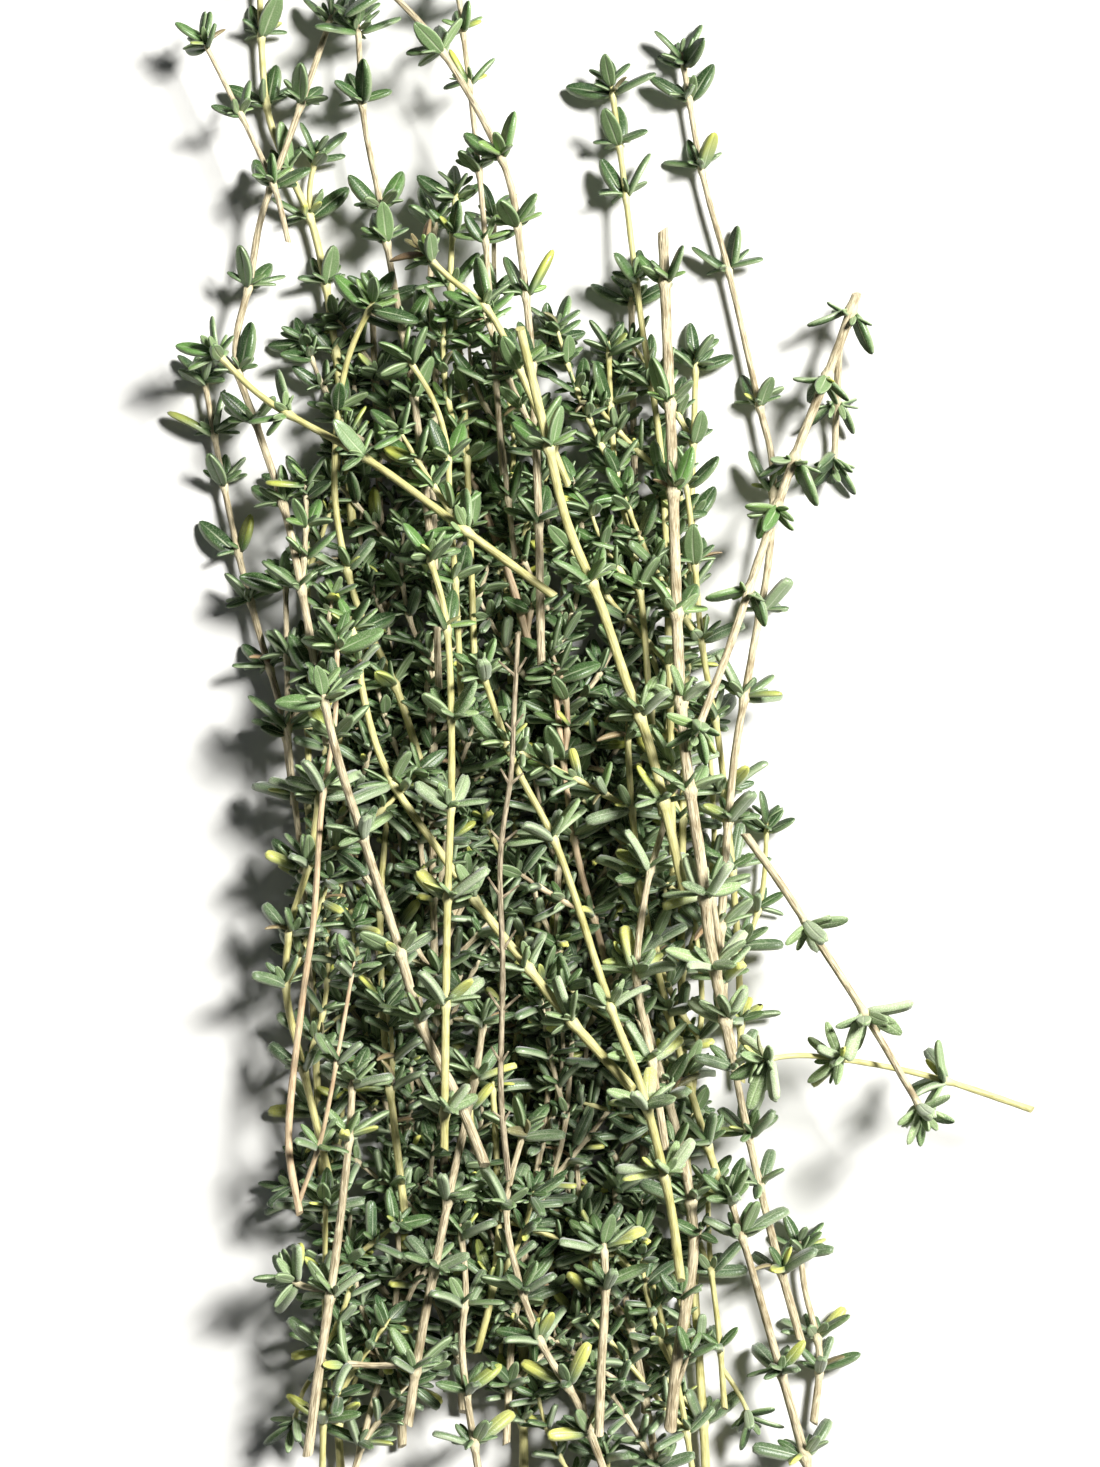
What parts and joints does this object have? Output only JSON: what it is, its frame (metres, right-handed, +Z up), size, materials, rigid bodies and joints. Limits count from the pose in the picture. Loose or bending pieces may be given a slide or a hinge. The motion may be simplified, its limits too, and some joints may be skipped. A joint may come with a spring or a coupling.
{
  "type": "thyme bundle",
  "caption": "Loose bundle of cut thyme sprigs lying flat: thin square woody stems with paired narrow leaves, roughly side by side, a few lying across.",
  "frame": {"origin": "middle of the bundle's footprint, on the surface that it lies on", "axes": "+X across the bundle, +Y along it towards most of the growing tips, +Z up from the surface"},
  "size_m": [0.1464, 0.2794, 0.0372],
  "materials": {
    "green_stem": "satin",
    "tan_stem": "matte",
    "russet_stem": "matte",
    "dry_stem": "matte",
    "leaf": "satin"
  },
  "bodies": {
    "root": {"under_sprig_1": "green_stem", "under_sprig_2": "tan_stem", "under_sprig_3": "tan_stem", "under_sprig_4": "green_stem", "under_sprig_5": "tan_stem", "under_sprig_6": "tan_stem", "under_sprig_7": "green_stem", "left_edge_sprig": "tan_stem", "left_inner_sprig": "tan_stem", "left_low_sprig": "green_stem", "forked_russet_sprig": "russet_stem", "upright_tan_sprig": "tan_stem", "upright_green_sprig": "green_stem", "mid_cluster_sprig": "tan_stem", "top_thin_sprig": "tan_stem", "leaf_top_foot": "green_stem", "short_green_foot": "green_stem", "low_middle_sprig": "tan_stem", "thin_green_foot": "green_stem", "slanting_left_foot": "tan_stem", "low_left_sprig": "green_stem", "bare_foot_sprig": "tan_stem", "right_thin_sprig": "green_stem", "right_short_sprig": "green_stem", "right_inner_sprig": "green_stem", "low_yellow_sprig": "green_stem", "pale_pink_sprig": "russet_stem", "right_long_sprig": "tan_stem", "top_middle_sprig": "tan_stem", "top_left_sprig": "green_stem", "bowed_left_sprig": "tan_stem", "upper_tan_sprig": "tan_stem", "leafy_curl_sprig": "green_stem", "curling_tip_sprig": "green_stem", "olive_stem_sprig": "green_stem", "short_olive_sprig": "green_stem", "low_zigzag_sprig": "tan_stem", "right_foot_sprig": "tan_stem", "right_edge_stem": "tan_stem", "torn_bark_stem": "tan_stem", "middle_node_sprig": "tan_stem", "tall_green_sprig": "green_stem", "swaying_green_sprig": "green_stem", "long_slant_sprig": "green_stem", "pale_foot_sprig": "tan_stem", "left_middle_stem": "tan_stem", "stout_foot_sprig": "tan_stem", "left_foot_stem": "tan_stem", "right_corner_stem": "tan_stem", "pink_forked_sprig": "russet_stem", "woody_slant_sprig": "tan_stem", "bright_straight_sprig": "green_stem", "diagonal_green_sprig": "green_stem", "trimmed_green_stem": "green_stem", "dry_twig": "dry_stem", "trimmed_brown_stem": "tan_stem", "leaning_branch": "tan_stem", "stray_green_sprig": "green_stem", "stray_tan_sprig": "tan_stem", "loose_top_sprig": "tan_stem"}
  },
  "joints": []
}
